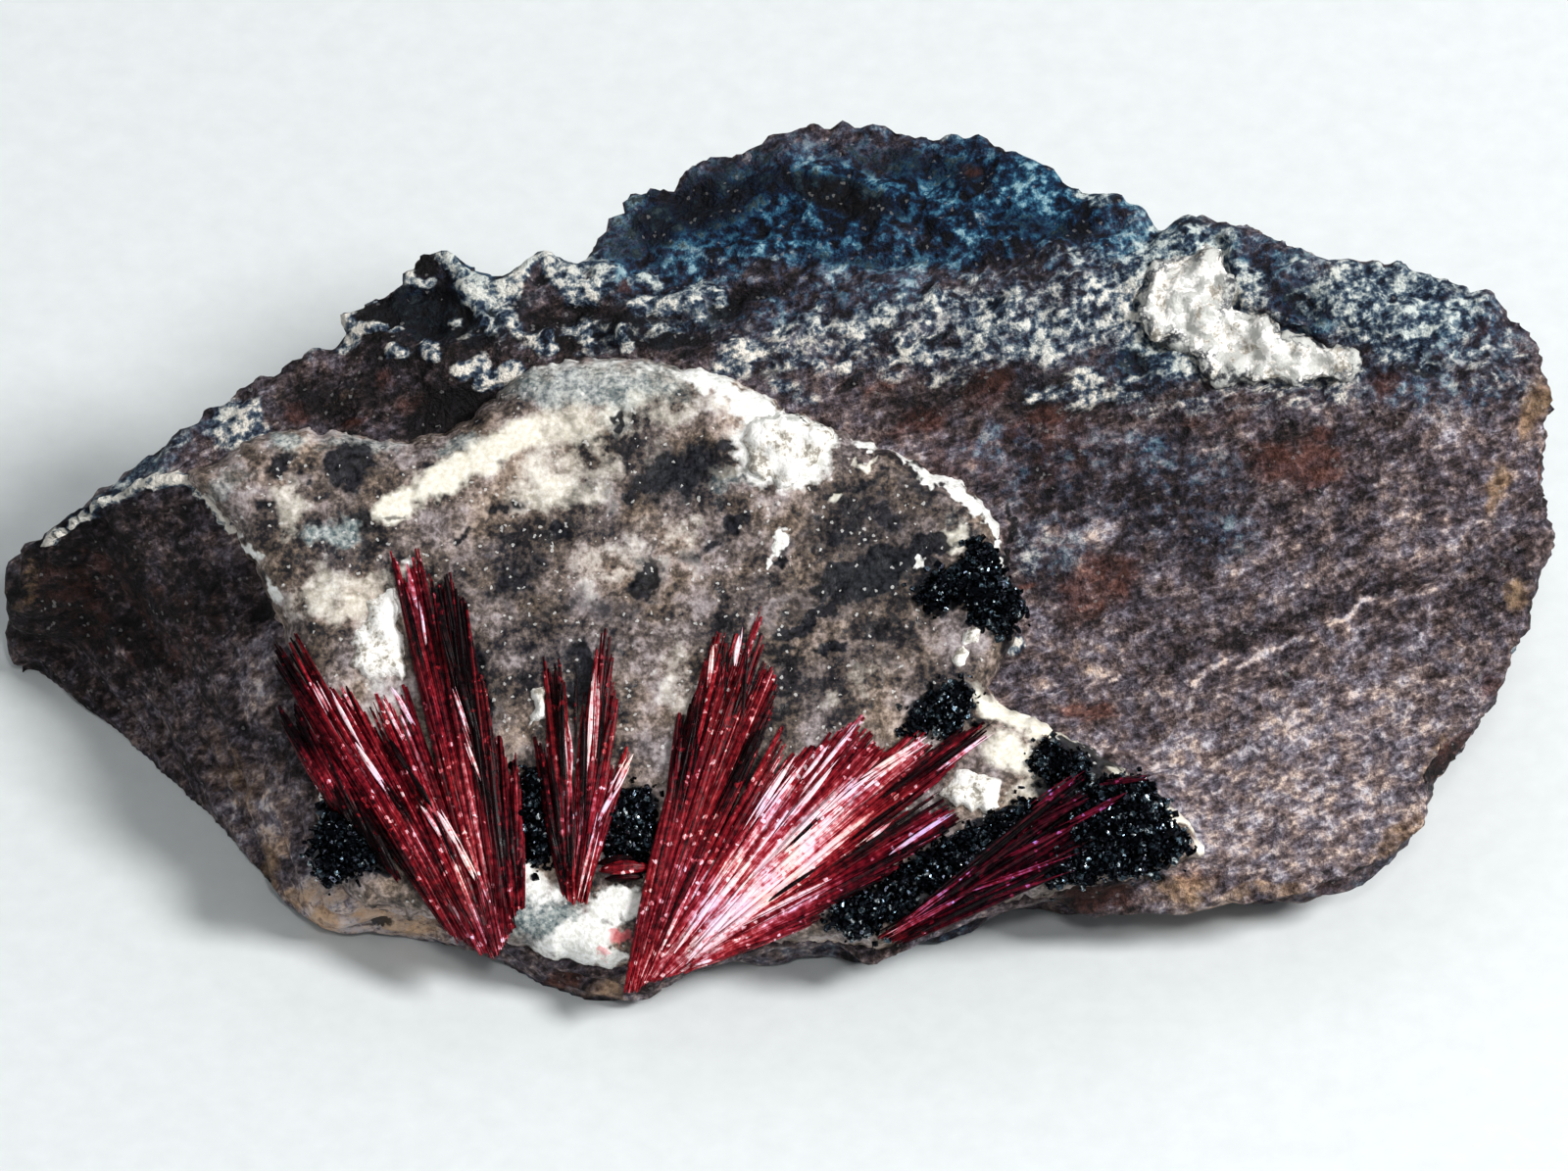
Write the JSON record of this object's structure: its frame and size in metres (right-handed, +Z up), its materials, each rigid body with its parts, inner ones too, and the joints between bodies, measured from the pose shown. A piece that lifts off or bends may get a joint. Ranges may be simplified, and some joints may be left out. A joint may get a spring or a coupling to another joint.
{
  "type": "mineral hand specimen",
  "caption": "Hand specimen of kermesite: fans of red needles and black stibnite in a quartz vein on a block of dark schist.",
  "frame": {"origin": "centre of the bounding box at the level of the flat base", "axes": "+Z up from the table, +X along the block to the viewer's right, the crystals face -Y and up"},
  "size_m": [0.111, 0.0596, 0.033],
  "materials": {
    "schist": "dull grey-brown foliated rock, stained with rust",
    "vein_quartz": "cream to grey quartz with a soft glassy sheen",
    "milky_quartz": "white granular quartz",
    "kermesite": "glossy cherry red to purple-black needles with pale streaks of light",
    "stibnite": "black granular crystals with a metallic glitter"
  },
  "bodies": {
    "root": {"host_rock": "schist", "quartz_vein": "vein_quartz", "kermesite_fan_left": "kermesite", "kermesite_fan_centre": "kermesite", "kermesite_fan_right": "kermesite", "kermesite_blades_right": "kermesite", "kermesite_crystal_small": "kermesite", "milky_quartz_upper": "milky_quartz", "milky_quartz_left": "milky_quartz", "milky_quartz_right": "milky_quartz", "milky_quartz_centre": "milky_quartz", "milky_quartz_rim": "milky_quartz", "milky_quartz_ridge": "milky_quartz", "stibnite_rim": "stibnite", "stibnite_upper_right": "stibnite", "stibnite_lower_right": "stibnite", "stibnite_far_right": "stibnite", "stibnite_upper_patch": "stibnite", "stibnite_left": "stibnite", "stibnite_centre_left": "stibnite", "stibnite_centre_right": "stibnite"}
  },
  "joints": []
}
